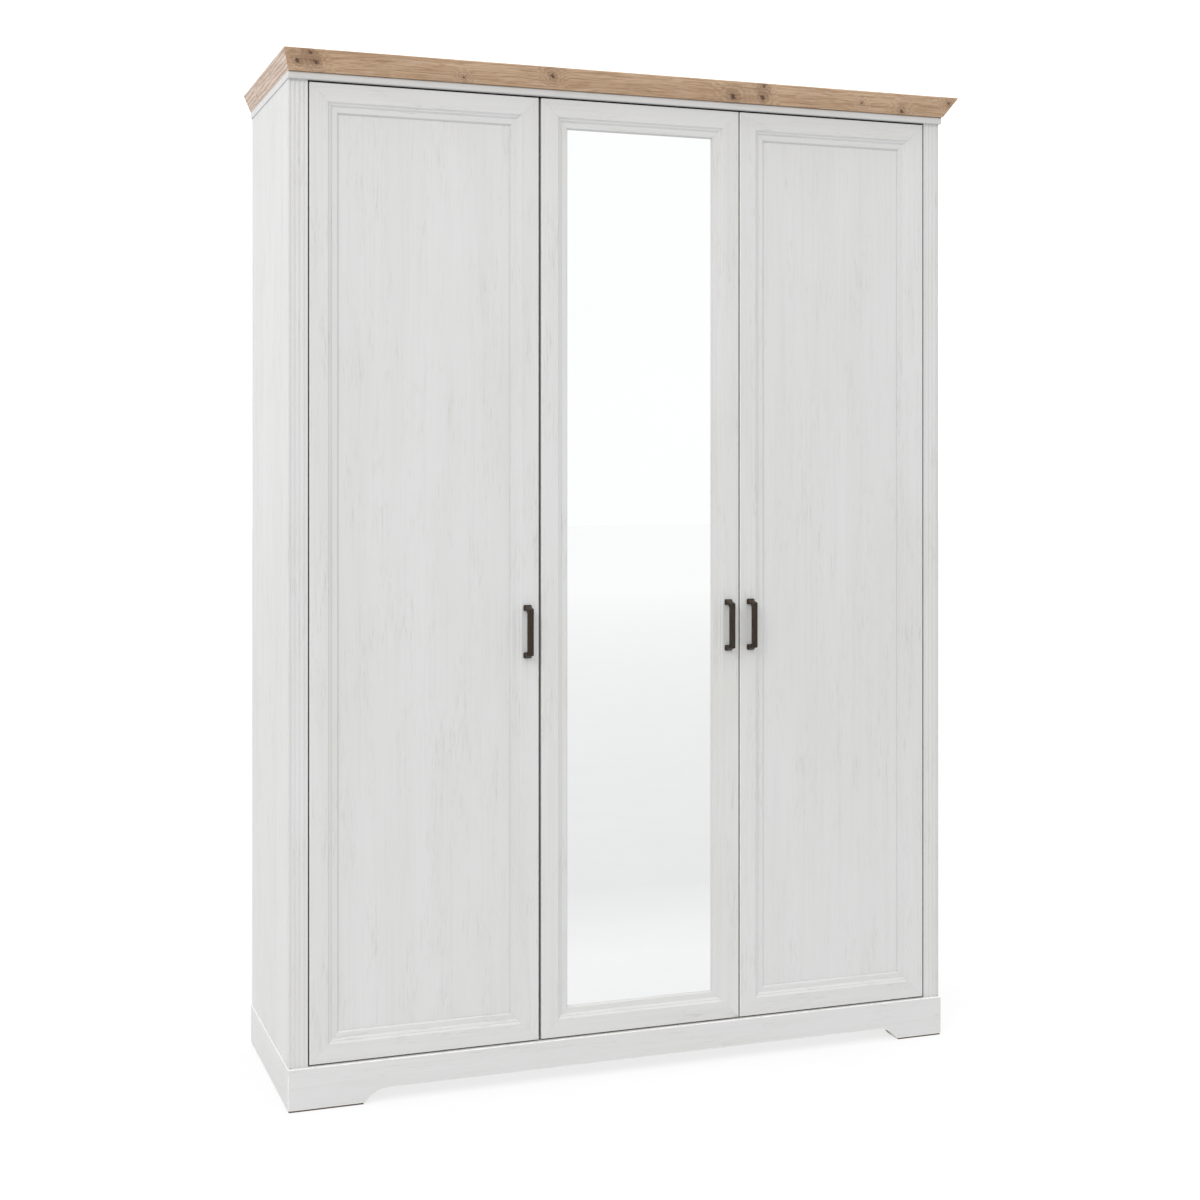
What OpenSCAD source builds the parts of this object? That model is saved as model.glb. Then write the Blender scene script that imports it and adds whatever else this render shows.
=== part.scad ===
// Three-door wardrobe: inset mitred doors, mirror in the middle door, bracket plinth, flared cornice.
// X runs along the front from left to right, Y from front to back, Z up from the floor.

/* [Overall] */
// Height from the floor to the top of the cornice
overall_h = 2050; // [1800:10:2300]
// Width of the plinth
plinth_w = 1436; // [1400:2:1600]
// Depth of the plinth, from its front to the wardrobe's back
plinth_d = 455; // [420:5:600]

/* [Plinth] */
// Height of the plinth's top edge above the floor
plinth_h = 84; // [70:1:120]
// Height of the apron's lower edge above the floor
apron_gap = 28; // [20:1:40]
// Length of the left foot along its underside
foot_left_l = 151; // [100:1:200]
// Length of the right foot along its underside
foot_right_l = 107; // [80:1:200]
// Length of each rounded end of the apron's opening
foot_curve_l = 47; // [35:1:60]
// Thickness of the front plinth board
plinth_front_t = 30; // [22:1:40]
// Thickness of the glides under the feet
glide_t = 3; // [2:0.5:5]

/* [Carcass] */
// Thickness of sides, partition, shelves and bottom
board_t = 16; // [15:1:19]
// Thickness of the top board
top_board_t = 14; // [12:1:19]
// How far the carcass's sides stand back from the plinth's
side_setback = 2; // [0:0.5:6]
// How far the doors and posts stand back from the plinth's front
front_setback = 6; // [4:0.5:12]
// Width of a fluted corner post
post_w = 38; // [34:1:50]
// Thickness of the hardboard back
back_t = 3; // [2.5:0.5:4]
// Depth of a shelf
shelf_d = 353; // [250:1:353]
// Underside height of the hat shelf
hat_shelf_z = 1634; // [1500:1:1750]

/* [Cornice] */
// Height of the cornice
cornice_h = 36; // [30:1:60]
// Thickness of the cornice boards
cornice_t = 18; // [14:1:22]
// Overhang of the cornice's lower front edge past the plinth
cornice_front_low = 8; // [3:0.5:12]
// Overhang of the cornice's upper front edge past the plinth
cornice_front_high = 45; // [30:0.5:60]
// Overhang of the cornice's lower side edges past the plinth
cornice_side_low = 1; // [0:0.5:6]
// Overhang of the cornice's upper side edges past the plinth
cornice_side_high = 15.5; // [10:0.5:40]

/* [Doors] */
// Thickness of the door frames
door_t = 22; // [19:1:24]
// Gap between a door and its corner post
gap_side = 3; // [2:0.5:4]
// Gap above the doors
gap_top = 3.5; // [2:0.5:5]
// Gap under the doors
gap_bottom = 3; // [2:0.5:5]
// Gap between the left and middle doors, over the partition
gap_left_middle = 6; // [6:0.5:8]
// Gap between the middle and right doors
gap_middle_right = 3; // [3:0.5:5]
// Width of the middle door and of the right door
door_w = 437; // [400:1:480]
// Width of the flat part of a door's frame
flat_w = 36; // [34:1:45]
// Width of the moulding around a panel
moulding_w = 22; // [18:1:26]
// Width of the moulding around the mirror
mirror_moulding_w = 23; // [19:1:27]
// Height of the handles' centre above the floor
handle_z = 915; // [850:1:1100]

/* [Hidden] */
$fn = 64;
// Overlap of shapes that are joined
EPS = 0.01;
// How far a cutting shape reaches past the face that it opens
CUT = 1;

// Main planes
plinth_x = plinth_w / 2;
side_x = plinth_x - side_setback;
inner_x = side_x - board_t;
back_y = (plinth_d + cornice_front_high) / 2;
plinth_y = back_y - plinth_d;
face_y = plinth_y + front_setback;
stop_gap = 2;
carcass_y = face_y + door_t + stop_gap;
joint_lip = 1;
sheet_y = back_y - joint_lip - back_t;
sheet_inset = 2;
joint_half_w = 1.5;
joint_lip_half_w = 10;
cornice_z = overall_h - cornice_h;
top_z = cornice_z - top_board_t;
floor_z = plinth_h + board_t;

// Top board, with a rounded front edge
top_board_reach = 2;
top_board_round = 3;

// Plinth: foot curves, blocks behind the corners, glides
plinth_side_t = board_t;
block_t = board_t;
rear_block_l = 60;
glide_margin = 2;
rear_glide_l = 70;
foot_angle = 2 * atan(apron_gap / foot_curve_l);
foot_curve_r = foot_curve_l / sin(foot_angle);
arch_left_x = -plinth_x + foot_left_l + foot_curve_l;
arch_right_x = plinth_x - foot_right_l - foot_curve_l;

// Cornice: boards that lean outwards and end in a small upright nose, mitred at the front corners
cornice_nose = 2;
function lean_t(low, high) =
  let (run = high - low, rise = cornice_h - cornice_nose) cornice_t * norm([run, rise]) / rise;
front_lean_t = lean_t(cornice_front_low, cornice_front_high);
side_lean_t = lean_t(cornice_side_low, cornice_side_high);
mitre_low = [plinth_x + cornice_side_low, plinth_y - cornice_front_low, cornice_z];
mitre_high = [plinth_x + cornice_side_high, plinth_y - cornice_front_high, overall_h - cornice_nose];
mitre_back = mitre_low + [-side_lean_t, front_lean_t, 0];
// Normal of the right mitre, pointing to the side board
mitre_normal = cross(mitre_back - mitre_low, mitre_high - mitre_low);
mitre_normal_left = [-mitre_normal[0], mitre_normal[1], mitre_normal[2]];
mitre_low_left = [-mitre_low[0], mitre_low[1], mitre_low[2]];

// Doors: hinge edge, width, direction from the hinge edge to the handle edge
post_in_x = side_x - post_w;
doors_x = post_in_x - gap_side;
left_door_w = 2 * doors_x - 2 * door_w - gap_left_middle - gap_middle_right;
LEFT = [-doors_x, left_door_w, 1];
MIDDLE = [-doors_x + left_door_w + gap_left_middle, door_w, 1];
RIGHT = [doors_x, door_w, -1];
DOORS = [LEFT, MIDDLE, RIGHT];
door_z = plinth_h + gap_bottom;
door_h = top_z - gap_top - door_z;

// Mouldings of the door frames
slope_w = 3.8;
slope_d = 3;
land_w = 1.7;
band_fall = 0.4;
last_w = 2.6;
lip_t = 1;

// Panel and mirror grooves in the door frames
groove_d = 8;
panel_y = 10;
panel_t = 8;
mirror_y = 12;
mirror_t = 4;
backing_t = 4;

// Concealed hinges, in a door's own frame: x from the hinge edge, y from the front face
hinge_overlay = 5;
hinge_z = [100, 670, 1240, 1810];
cup_x = 24;
cup_r = 17.5;
cup_depth = 12.5;
cup_wall = 0.8;
arm_pivot = [10, 28];
link_ratio = 0.44;
link_open = [[10, 28], [19, 24], [29, 7], [22.7, -2.2], [19.5, 0]];
link_half_t = 0.75;
link_half_w = 5;
link_eye_r = 3;
pivot_r = 1.25;
pivot_play = 0.2;
cheek_gap = 0.7;
cheek_t = 1.5;
cheek_w = 7;
cheek_lip = 1.5;
cheek_y = 24.5;
arm_t = 10;
arm_y = [37, 84];
plate_t = 3;
plate_y = [38, 80];
plate_half_w = 7;
wing_y = [50, 64];
wing_half_l = 25;
plate_screw_z = 19;
plate_screw_r = 4;
plate_screw_head = 1.5;
cup_flange_t = 1;
cup_flange_half_w = 12;
cup_ear_l = 31;

// Partition: its right face carries the middle door's hinges
partition_right_x = MIDDLE[0] + hinge_overlay;
partition_left_x = partition_right_x - board_t;

// Hinge strips and top stop rail
strip_d = 60;
stop_rail_h = 30;
stop_rail_z = top_z - stop_rail_h;
strip_in_x = doors_x - hinge_overlay;

// Bumpers, stuck to the carcass behind the doors' free edges
bumper_play = 0.3;
bumper_drop = 6;

// Shelves
shelf_play = 1;
shelf_back_gap = 3;
shelf_y = sheet_y - shelf_back_gap - shelf_d;
shelf_space = (stop_rail_z - floor_z) / 4;
shelf_z = [for (i = [1:3]) floor_z + i * shelf_space - board_t];
pin_r = 2.5;
pin_in = 8;
pin_out = 9;
pin_inset = 40;

// Clothes rail
rail_r = 12.5;
rail_wall = 1.2;
rail_y = 40;
rail_drop = 60;
rail_z = hat_shelf_z - rail_drop;
flange_r = 18;
flange_t = 4;
socket_l = 14;
socket_wall = 2;

// Handles
handle_inset = 24;
handle_pitch = 96;
foot_w = 17;
foot_h = 12;
neck_w = 13;
neck_h = 9;
foot_base_t = 4;
handle_reach = 24;
bar_t = 4;
screw_r = 2;
screw_grip = 12;
screw_head_r = 4;
screw_head_t = 2;

// Flutes of the corner posts
flute_pitch = 9.2;
flute_w = 7.2;
flute_depth = 1.2;
flute_r = (flute_w * flute_w / 4 + flute_depth * flute_depth) / (2 * flute_depth);
post_round = 3;

function unit(v) = v / norm(v);
function turn(p, c, a) = [
  c[0] + (p[0] - c[0]) * cos(a) - (p[1] - c[1]) * sin(a),
  c[1] + (p[0] - c[0]) * sin(a) + (p[1] - c[1]) * cos(a)];
function normal_at(path, i) = let (
    a = path[max(i - 1, 0)], b = path[min(i + 1, len(path) - 1)], d = unit(b - a)) [-d[1], d[0]];
// Outline of a strip of constant thickness that follows a path
function ribbon(path, half) = concat(
  [for (i = [0:len(path) - 1]) path[i] + half * normal_at(path, i)],
  [for (i = [len(path) - 1:-1:0]) path[i] - half * normal_at(path, i)]);

module block(low, high) { translate(low) cube(high - low); }
module flip_x() { mirror([1, 0, 0]) children(); }
module swap_xz() { mirror([1, 0, -1]) children(); }
module rod_x(length, r) { rotate([0, 90, 0]) cylinder(h = length, r = r); }
module rod_y(length, r) { rotate([-90, 0, 0]) cylinder(h = length, r = r); }

// Extrudes a profile drawn in x and z along y, from y = low to y = high
module along_y(low, high) {
  translate([0, high, 0]) rotate([90, 0, 0]) linear_extrude(high - low) children();
}
// Extrudes a profile drawn in y and z along x, from x = low to x = high
module along_x(low, high) {
  translate([low, 0, 0]) rotate([90, 0, 90]) linear_extrude(high - low) children();
}
// Everything on the side of the plane through p that the normal n points to
module half_space(p, n) {
  reach = 2 * plinth_w;
  z = unit(n);
  x = unit(cross([0, 0, 1], z));
  y = cross(z, x);
  multmatrix([[x[0], y[0], z[0], p[0]], [x[1], y[1], z[1], p[1]], [x[2], y[2], z[2], p[2]], [0, 0, 0, 1]])
    translate([-reach, -reach, 0]) cube([2 * reach, 2 * reach, reach]);
}
// Puts something drawn in a door's own frame in its place
module at_door(d) {
  translate([d[0], face_y, door_z]) if (d[2] > 0) children(); else flip_x() children();
}
module at_hinges() { for (z = hinge_z) translate([0, 0, z]) children(); }

// Carcass

module pin_holes(face_x, dir, heights) {
  for (z = heights, y = [shelf_y + pin_inset, shelf_y + shelf_d - pin_inset])
    translate([dir > 0 ? face_x - EPS : face_x - pin_in, y, z - pin_r])
      rod_x(pin_in + EPS, pin_r);
}
module side_board() {
  block([-side_x, carcass_y, plinth_h], [-inner_x, sheet_y, top_z]);
}
module side_panel_left() {
  color("whitesmoke") difference() { side_board(); pin_holes(-inner_x, -1, shelf_z); }
}
module side_panel_right() {
  color("whitesmoke") difference() {
    flip_x() side_board();
    pin_holes(inner_x, 1, [hat_shelf_z]);
  }
}
module partition_panel() {
  color("whitesmoke") difference() {
    block([partition_left_x, carcass_y, floor_z], [partition_right_x, sheet_y, top_z]);
    block([partition_left_x - CUT, carcass_y - CUT, stop_rail_z],
      [partition_right_x + CUT, carcass_y + strip_d, top_z + CUT]);
    pin_holes(partition_left_x, 1, shelf_z);
    pin_holes(partition_right_x, -1, [hat_shelf_z]);
  }
}
module bottom_panel() {
  color("whitesmoke") block([-inner_x, carcass_y, plinth_h], [inner_x, sheet_y, floor_z]);
}
module top_board() {
  edge_r = top_board_round;
  front_y = plinth_y - top_board_reach;
  color("whitesmoke") along_x(-plinth_x, plinth_x) union() {
    translate([front_y + edge_r, top_z]) square([back_y - front_y - edge_r, top_board_t]);
    translate([front_y, top_z + edge_r]) square([edge_r + EPS, top_board_t - 2 * edge_r]);
    for (z = [top_z + edge_r, cornice_z - edge_r]) translate([front_y + edge_r, z]) circle(edge_r);
  }
}
module top_stop_rail() {
  color("whitesmoke")
    block([-inner_x, carcass_y, stop_rail_z], [inner_x, carcass_y + strip_d, top_z]);
}
module corner_post() {
  color("white") translate([0, 0, plinth_h]) linear_extrude(top_z - plinth_h) difference() {
    union() {
      translate([-side_x + post_round, face_y]) square([post_w - post_round, carcass_y - face_y]);
      translate([-side_x, face_y + post_round])
        square([post_round + EPS, carcass_y - face_y - post_round]);
      translate([-side_x + post_round, face_y + post_round]) circle(post_round);
    }
    for (i = [-1.5:1:1.5])
      translate([-side_x + post_w / 2 + i * flute_pitch, face_y - flute_r + flute_depth])
        circle(flute_r);
  }
}
module corner_post_left() { corner_post(); }
module corner_post_right() { flip_x() corner_post(); }
module hinge_strip() {
  color("whitesmoke")
    block([-inner_x, carcass_y, floor_z], [-strip_in_x, carcass_y + strip_d, stop_rail_z]);
}
module hinge_strip_left() { hinge_strip(); }
module hinge_strip_right() { flip_x() hinge_strip(); }

// Back

module back_sheet() {
  color("gainsboro")
    block([-side_x + sheet_inset, sheet_y, plinth_h], [-joint_half_w, sheet_y + back_t, top_z]);
}
module back_panel_left() { back_sheet(); }
module back_panel_right() { flip_x() back_sheet(); }
module back_joint_strip() {
  color("white") union() {
    block([-joint_half_w, sheet_y - joint_lip, floor_z], [joint_half_w, back_y, top_z]);
    for (y = [sheet_y - joint_lip, sheet_y + back_t])
      block([-joint_lip_half_w, y, floor_z], [joint_lip_half_w, y + joint_lip, top_z]);
  }
}

// Plinth

// The opening under the apron, with an arc at each end
module apron_opening(low_y, high_y) {
  along_y(low_y, high_y) union() {
    translate([arch_left_x, -apron_gap]) square([arch_right_x - arch_left_x, 2 * apron_gap]);
    for (x = [arch_left_x, arch_right_x])
      translate([x, apron_gap - foot_curve_r]) circle(foot_curve_r, $fn = 128);
  }
}
module plinth_front() {
  mitre = plinth_side_t;
  inside = plinth_x - mitre;
  color("whitesmoke") difference() {
    translate([0, 0, glide_t]) linear_extrude(plinth_h - glide_t) polygon([
      [-plinth_x, plinth_y], [plinth_x, plinth_y], [inside, plinth_y + mitre],
      [inside, plinth_y + plinth_front_t], [-inside, plinth_y + plinth_front_t],
      [-inside, plinth_y + mitre]]);
    apron_opening(plinth_y - CUT, plinth_y + plinth_front_t + CUT);
  }
}
module plinth_side() {
  color("whitesmoke") translate([0, 0, glide_t]) linear_extrude(plinth_h - glide_t) polygon([
    [-plinth_x, plinth_y], [-plinth_x + plinth_side_t, plinth_y + plinth_side_t],
    [-plinth_x + plinth_side_t, back_y], [-plinth_x, back_y]]);
}
module plinth_side_left() { plinth_side(); }
module plinth_side_right() { flip_x() plinth_side(); }
module plinth_rear_rail() {
  inside = plinth_x - plinth_side_t;
  color("whitesmoke") block([-inside, back_y - board_t, glide_t], [inside, back_y, plinth_h]);
}
module plinth_corner_blocks() {
  inside = plinth_x - plinth_side_t;
  front_y = plinth_y + plinth_front_t;
  rear_y = back_y - board_t;
  color("tan") difference() {
    union() {
      block([-inside, front_y, glide_t], [arch_left_x, front_y + block_t, plinth_h]);
      block([arch_right_x, front_y, glide_t], [inside, front_y + block_t, plinth_h]);
      for (x = [-inside, inside - rear_block_l])
        block([x, rear_y - block_t, glide_t], [x + rear_block_l, rear_y, plinth_h]);
    }
    apron_opening(front_y - CUT, front_y + block_t + CUT);
  }
}
module floor_glides() {
  front_y = [plinth_y + glide_margin, plinth_y + plinth_front_t + block_t - glide_margin];
  rear_y = [back_y - board_t - block_t + glide_margin, back_y - glide_margin];
  outer = plinth_x - glide_margin;
  color("dimgray") {
    block([-outer, front_y[0], 0], [-plinth_x + foot_left_l - glide_margin, front_y[1], glide_t]);
    block([plinth_x - foot_right_l + glide_margin, front_y[0], 0], [outer, front_y[1], glide_t]);
    for (x = [-outer, outer - rear_glide_l])
      block([x, rear_y[0], 0], [x + rear_glide_l, rear_y[1], glide_t]);
  }
}

// Cornice

function cornice_outline(low, high, lean) = [
  [low, cornice_z], [high, overall_h - cornice_nose], [high, overall_h],
  [high - lean, overall_h], [low - lean, cornice_z]];
module cornice_front() {
  reach = plinth_x + cornice_side_high;
  outline = [for (p = cornice_outline(cornice_front_low, cornice_front_high, front_lean_t))
    [plinth_y - p[0], p[1]]];
  color("burlywood") difference() {
    along_x(-reach, reach) polygon(outline);
    half_space(mitre_low, mitre_normal);
    half_space(mitre_low_left, mitre_normal_left);
  }
}
module cornice_side() {
  outline = [for (p = cornice_outline(cornice_side_low, cornice_side_high, side_lean_t))
    [plinth_x + p[0], p[1]]];
  color("burlywood") difference() {
    along_y(plinth_y - cornice_front_high, back_y) polygon(outline);
    half_space(mitre_low, -mitre_normal);
  }
}
module cornice_side_left() { flip_x() cornice_side(); }
module cornice_side_right() { cornice_side(); }

// Interior fittings

module shelf(z, low_x, high_x) {
  color("whitesmoke") block([low_x + shelf_play, shelf_y, z],
    [high_x - shelf_play, shelf_y + shelf_d, z + board_t]);
}
module shelf_1() { shelf(shelf_z[0], -inner_x, partition_left_x); }
module shelf_2() { shelf(shelf_z[1], -inner_x, partition_left_x); }
module shelf_3() { shelf(shelf_z[2], -inner_x, partition_left_x); }
module hat_shelf() { shelf(hat_shelf_z, partition_right_x, inner_x); }
module clothes_rail() {
  low_x = partition_right_x + flange_t;
  length = inner_x - flange_t - low_x;
  color("silver") translate([low_x, rail_y, rail_z]) difference() {
    rod_x(length, rail_r);
    translate([-CUT, 0, 0]) rod_x(length + 2 * CUT, rail_r - rail_wall);
  }
}
module rail_flange() {
  color("silver") difference() {
    union() { rod_x(flange_t, flange_r); rod_x(socket_l, rail_r + socket_wall); }
    translate([flange_t, 0, 0]) rod_x(socket_l, rail_r);
  }
}
module rail_flanges() {
  translate([partition_right_x, rail_y, rail_z]) rail_flange();
  translate([inner_x, rail_y, rail_z]) flip_x() rail_flange();
}
module pins(face_x, dir, heights) {
  for (z = heights, y = [shelf_y + pin_inset, shelf_y + shelf_d - pin_inset])
    translate([dir > 0 ? face_x - pin_in : face_x - pin_out, y, z - pin_r])
      rod_x(pin_in + pin_out, pin_r);
}
module shelf_pins() {
  color("silver") {
    pins(-inner_x, 1, shelf_z);
    pins(partition_left_x, -1, shelf_z);
    pins(partition_right_x, 1, [hat_shelf_z]);
    pins(inner_x, -1, [hat_shelf_z]);
  }
}
module door_bumpers() {
  bumper_r = 4;
  bumper_t = stop_gap - bumper_play;
  free_x = [LEFT[0] + LEFT[1] - handle_inset, MIDDLE[0] + MIDDLE[1] - handle_inset,
    RIGHT[0] - RIGHT[1] + handle_inset];
  color("lightgray") for (x = free_x, z = [floor_z - bumper_drop, stop_rail_z + stop_rail_h / 2])
    translate([x, carcass_y - bumper_t, z]) rod_y(bumper_t, bumper_r);
}

// Concealed hinges

module hinge_plate() {
  plate_x = [hinge_overlay, hinge_overlay + plate_t];
  color("silver") union() {
    block([plate_x[0], plate_y[0], -plate_half_w], [plate_x[1], plate_y[1], plate_half_w]);
    block([plate_x[0], wing_y[0], -wing_half_l], [plate_x[1], wing_y[1], wing_half_l]);
    for (z = [-plate_screw_z, plate_screw_z]) translate([plate_x[0], (wing_y[0] + wing_y[1]) / 2, z])
      rod_x(plate_t + plate_screw_head, plate_screw_r);
  }
}
module hinge_arm() {
  cheek_low = link_half_w + cheek_gap;
  cheek_high = cheek_low + cheek_t;
  arm_x = [hinge_overlay + plate_t, hinge_overlay + plate_t + arm_t];
  color("silver") union() {
    block([arm_x[0], arm_y[0], -cheek_high], [arm_x[1], arm_y[1], cheek_high]);
    for (z = [-cheek_high, cheek_low])
      block([arm_x[0] - cheek_lip, cheek_y, z], [arm_x[0] + cheek_w, arm_y[0] + EPS, z + cheek_t]);
    translate([arm_pivot[0], arm_pivot[1], -cheek_high]) cylinder(h = 2 * cheek_high, r = pivot_r);
  }
}
module hinge_plates() { for (d = DOORS) at_door(d) at_hinges() hinge_plate(); }
module hinge_arms() { for (d = DOORS) at_door(d) at_hinges() hinge_arm(); }
module hinge_link() {
  closed = [for (p = link_open) turn(p, arm_pivot, link_ratio * 90)];
  color("silver") translate([0, 0, -link_half_w]) linear_extrude(2 * link_half_w) difference() {
    union() { polygon(ribbon(closed, link_half_t)); translate(arm_pivot) circle(link_eye_r); }
    translate(arm_pivot) circle(pivot_r + pivot_play);
  }
}
module hinge_cup() {
  half_w = cup_flange_half_w;
  color("silver") difference() {
    union() {
      translate([cup_x, door_t - cup_depth, 0]) rod_y(cup_depth, cup_r);
      block([cup_x - half_w, door_t, -cup_ear_l], [cup_x + half_w, door_t + cup_flange_t, cup_ear_l]);
      translate([cup_x, door_t, 0]) rod_y(cup_flange_t, cup_r);
    }
    translate([cup_x, door_t - cup_depth + cup_wall, 0])
      rod_y(cup_depth + cup_flange_t + CUT, cup_r - cup_wall);
  }
}
module door_links(d) { at_door(d) at_hinges() hinge_link(); }
module door_cups(d) { at_door(d) at_hinges() hinge_cup(); }

// Doors

// Cross-section of a frame member: x from its outer edge, y from its front face. The moulding steps
// down in two slopes with a land between them, then a band falls gently to a last steep slope
module frame_section(moulding, groove_y, groove_t) {
  w = flat_w + moulding;
  land_x = flat_w + slope_w;
  band_x = land_x + land_w + slope_w;
  polygon([
    [0, 0], [flat_w, 0], [land_x, slope_d], [land_x + land_w, slope_d], [band_x, 2 * slope_d],
    [w - last_w, 2 * slope_d + band_fall], [w, groove_y - lip_t], [w, groove_y],
    [w - groove_d, groove_y], [w - groove_d, groove_y + groove_t],
    [w, groove_y + groove_t], [w, door_t], [0, door_t]]);
}
// A mitred member that stands on z = 0, its outer edge on x = 0
module member(length, moulding, groove_y, groove_t) {
  w = flat_w + moulding;
  intersection() {
    linear_extrude(length) frame_section(moulding, groove_y, groove_t);
    along_y(-CUT, door_t + CUT) polygon([[0, 0], [w, w], [w, length - w], [0, length]]);
  }
}
module panel_member(length) { member(length, moulding_w, panel_y, panel_t); }
module mirror_member(length) {
  member(length, mirror_moulding_w, mirror_y, mirror_t + backing_t);
}
module drilled_hinge_stile() {
  difference() {
    children();
    at_hinges() translate([cup_x, door_t - cup_depth, 0]) rod_y(cup_depth + CUT, cup_r);
  }
}
module at_handle_holes(d) {
  for (side = [-1, 1])
    translate([d[1] - handle_inset, 0, handle_z - door_z + side * handle_pitch / 2]) children();
}
module drilled_handle_stile(d) {
  difference() {
    translate([d[1], 0, 0]) flip_x() children();
    at_handle_holes(d) translate([0, -CUT, 0]) rod_y(door_t + 2 * CUT, screw_r);
  }
}
module as_bottom_rail() { swap_xz() children(); }
module as_top_rail() { translate([0, 0, door_h]) mirror([0, 0, 1]) swap_xz() children(); }
// A sheet held in the frame's groove
module infill(d, moulding, y, t) {
  play = 0.5;
  inset = flat_w + moulding - groove_d + play;
  block([inset, y, inset], [d[1] - inset, y + t, door_h - inset]);
}
module handle(d) {
  bar_h = handle_pitch + neck_h;
  color("darkslategray") translate([d[1] - handle_inset, 0, handle_z - door_z]) difference() {
    union() {
      for (side = [-1, 1]) translate([0, 0, side * handle_pitch / 2]) {
        block([-foot_w / 2, -foot_base_t, -foot_h / 2], [foot_w / 2, 0, foot_h / 2]);
        block([-neck_w / 2, -handle_reach, -neck_h / 2], [neck_w / 2, 0, neck_h / 2]);
      }
      block([-neck_w / 2, -handle_reach, -bar_h / 2], [neck_w / 2, bar_t - handle_reach, bar_h / 2]);
    }
    for (side = [-1, 1])
      translate([0, -screw_grip, side * handle_pitch / 2]) rod_y(screw_grip + CUT, screw_r);
  }
}
module handle_screws(d) {
  color("silver") at_handle_holes(d) {
    translate([0, -screw_grip, 0]) rod_y(screw_grip + door_t, screw_r);
    translate([0, door_t, 0]) rod_y(screw_head_t, screw_head_r);
  }
}

module panel_hinge_stile(d) {
  color("whitesmoke") at_door(d) drilled_hinge_stile() panel_member(door_h);
}
module panel_handle_stile(d) {
  color("whitesmoke") at_door(d) drilled_handle_stile(d) panel_member(door_h);
}
module panel_top_rail(d) { color("whitesmoke") at_door(d) as_top_rail() panel_member(d[1]); }
module panel_bottom_rail(d) { color("whitesmoke") at_door(d) as_bottom_rail() panel_member(d[1]); }
module door_panel(d) { color("white") at_door(d) infill(d, moulding_w, panel_y, panel_t); }

module door_left_hinge_stile() { panel_hinge_stile(LEFT); }
module door_left_handle_stile() { panel_handle_stile(LEFT); }
module door_left_top_rail() { panel_top_rail(LEFT); }
module door_left_bottom_rail() { panel_bottom_rail(LEFT); }
module door_left_panel() { door_panel(LEFT); }
module door_left_handle() { at_door(LEFT) handle(LEFT); }
module door_left_handle_screws() { at_door(LEFT) handle_screws(LEFT); }
module door_left_hinge_cups() { door_cups(LEFT); }
module door_left_hinge_links() { door_links(LEFT); }

module door_middle_hinge_stile() {
  color("whitesmoke") at_door(MIDDLE) drilled_hinge_stile() mirror_member(door_h);
}
module door_middle_handle_stile() {
  color("whitesmoke") at_door(MIDDLE) drilled_handle_stile(MIDDLE) mirror_member(door_h);
}
module door_middle_top_rail() {
  color("whitesmoke") at_door(MIDDLE) as_top_rail() mirror_member(MIDDLE[1]);
}
module door_middle_bottom_rail() {
  color("whitesmoke") at_door(MIDDLE) as_bottom_rail() mirror_member(MIDDLE[1]);
}
module door_middle_backing() {
  color("tan") at_door(MIDDLE)
    infill(MIDDLE, mirror_moulding_w, mirror_y + mirror_t, backing_t);
}
module mirror_glass() {
  color("aliceblue") at_door(MIDDLE) infill(MIDDLE, mirror_moulding_w, mirror_y, mirror_t);
}
module door_middle_handle() { at_door(MIDDLE) handle(MIDDLE); }
module door_middle_handle_screws() { at_door(MIDDLE) handle_screws(MIDDLE); }
module door_middle_hinge_cups() { door_cups(MIDDLE); }
module door_middle_hinge_links() { door_links(MIDDLE); }

module door_right_hinge_stile() { panel_hinge_stile(RIGHT); }
module door_right_handle_stile() { panel_handle_stile(RIGHT); }
module door_right_top_rail() { panel_top_rail(RIGHT); }
module door_right_bottom_rail() { panel_bottom_rail(RIGHT); }
module door_right_panel() { door_panel(RIGHT); }
module door_right_handle() { at_door(RIGHT) handle(RIGHT); }
module door_right_handle_screws() { at_door(RIGHT) handle_screws(RIGHT); }
module door_right_hinge_cups() { door_cups(RIGHT); }
module door_right_hinge_links() { door_links(RIGHT); }

side_panel_left();
side_panel_right();
partition_panel();
bottom_panel();
top_board();
top_stop_rail();
corner_post_left();
corner_post_right();
hinge_strip_left();
hinge_strip_right();
back_panel_left();
back_panel_right();
back_joint_strip();
plinth_front();
plinth_side_left();
plinth_side_right();
plinth_rear_rail();
plinth_corner_blocks();
floor_glides();
cornice_front();
cornice_side_left();
cornice_side_right();
shelf_1();
shelf_2();
shelf_3();
hat_shelf();
clothes_rail();
rail_flanges();
shelf_pins();
hinge_plates();
hinge_arms();
door_bumpers();
door_left_hinge_stile();
door_left_handle_stile();
door_left_top_rail();
door_left_bottom_rail();
door_left_panel();
door_left_handle();
door_left_handle_screws();
door_left_hinge_cups();
door_left_hinge_links();
door_middle_hinge_stile();
door_middle_handle_stile();
door_middle_top_rail();
door_middle_bottom_rail();
door_middle_backing();
mirror_glass();
door_middle_handle();
door_middle_handle_screws();
door_middle_hinge_cups();
door_middle_hinge_links();
door_right_hinge_stile();
door_right_handle_stile();
door_right_top_rail();
door_right_bottom_rail();
door_right_panel();
door_right_handle();
door_right_handle_screws();
door_right_hinge_cups();
door_right_hinge_links();
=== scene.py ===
"""Looks of the three-door wardrobe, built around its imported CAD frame. Lengths are in metres."""

import math

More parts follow.
